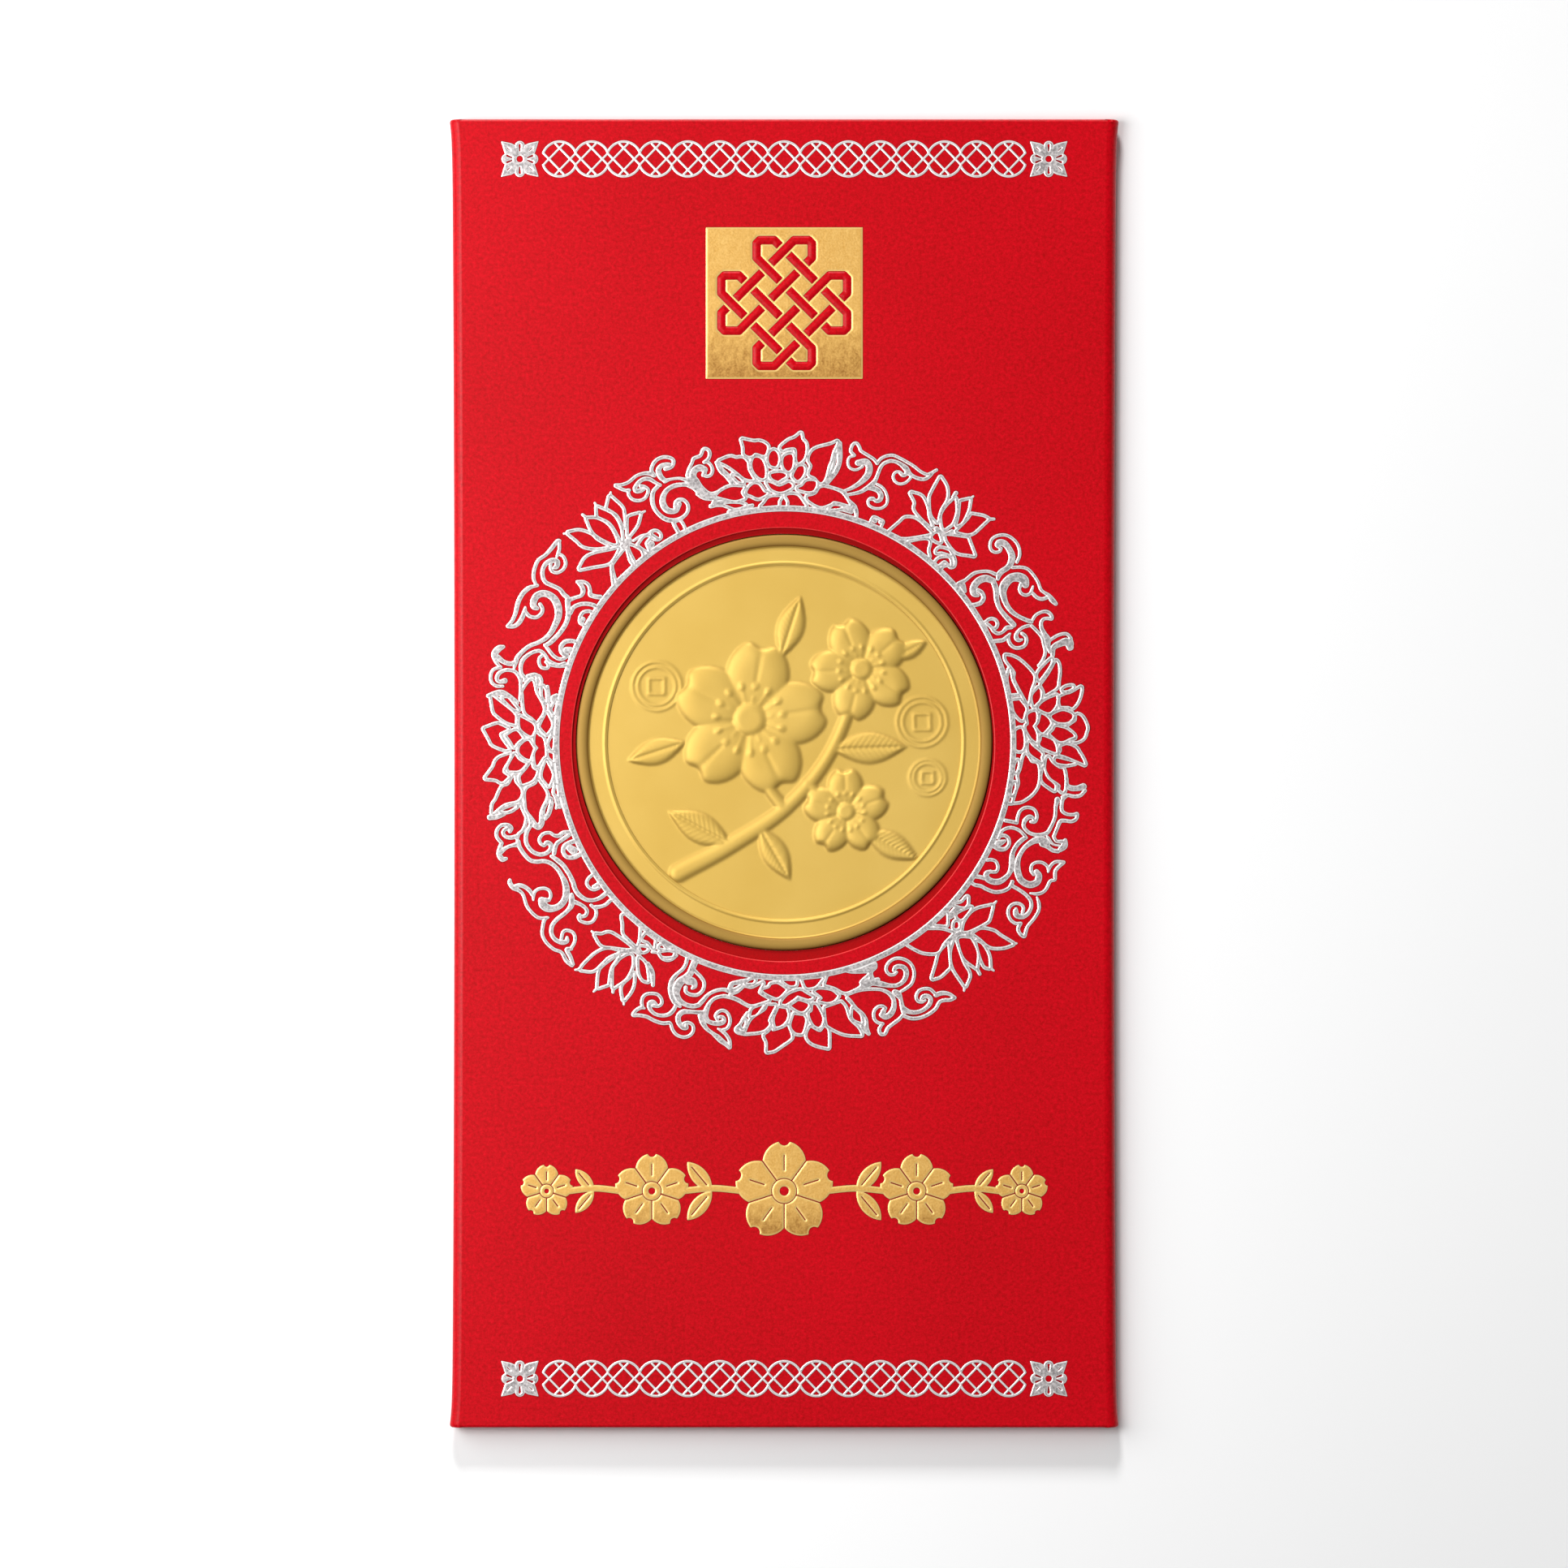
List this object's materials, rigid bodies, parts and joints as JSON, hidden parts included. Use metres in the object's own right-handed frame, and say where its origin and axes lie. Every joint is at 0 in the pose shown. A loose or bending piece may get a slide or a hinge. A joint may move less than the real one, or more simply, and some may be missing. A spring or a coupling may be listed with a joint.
{
  "type": "red envelope",
  "caption": "Flat red card envelope with a folding top flap, a gold medallion behind a round window, and silver lotus-wreath and gold foil stamping.",
  "frame": {"origin": "centre of the envelope's outline, on the surface that its back lies on", "axes": "+X to the right across the width, +Y up the height towards the flap, +Z out of the stamped front"},
  "size_m": [0.085, 0.168, 0.0032],
  "materials": {
    "red_card": "fine-grained red card with a slight sheen",
    "holder_board": "red-covered board",
    "backing_card": "uncoated",
    "glue": "dried film",
    "foam_tape": "closed-cell foam",
    "medallion_gold": "satin gold wash",
    "gold_foil": "grained gold foil",
    "silver_foil": "grained silver foil"
  },
  "bodies": {
    "envelope": {"front_panel": "red_card", "back_panel": "red_card", "left_side_fold": "red_card", "right_side_fold": "red_card", "seam_flap": "red_card", "seam_glue": "glue", "bottom_fold": "red_card", "bottom_flap": "red_card", "bottom_glue": "glue", "holder_board": "holder_board", "holder_glue": "glue", "backing_card": "backing_card", "medallion": "medallion_gold", "medallion_pad": "foam_tape", "gold_square": "gold_foil", "gold_sprig": "gold_foil", "top_border": "silver_foil", "bottom_border": "silver_foil", "corner_rosettes": "silver_foil", "lotus_wreath": "silver_foil"},
    "spine": {"top_fold": "red_card"},
    "flap": {"top_flap": "red_card"}
  },
  "joints": [
    {"name": "spine_crease", "type": "hinge", "parent": "envelope", "child": "spine", "pos_m": [0, 0.08365, 0.0028], "axis": [1, 0, 0], "range_deg": [0, 90]},
    {"name": "flap_crease", "type": "hinge", "parent": "spine", "child": "flap", "pos_m": [0, 0.08365, 0.00035], "axis": [1, 0, 0], "range_deg": [0, 90]}
  ]
}
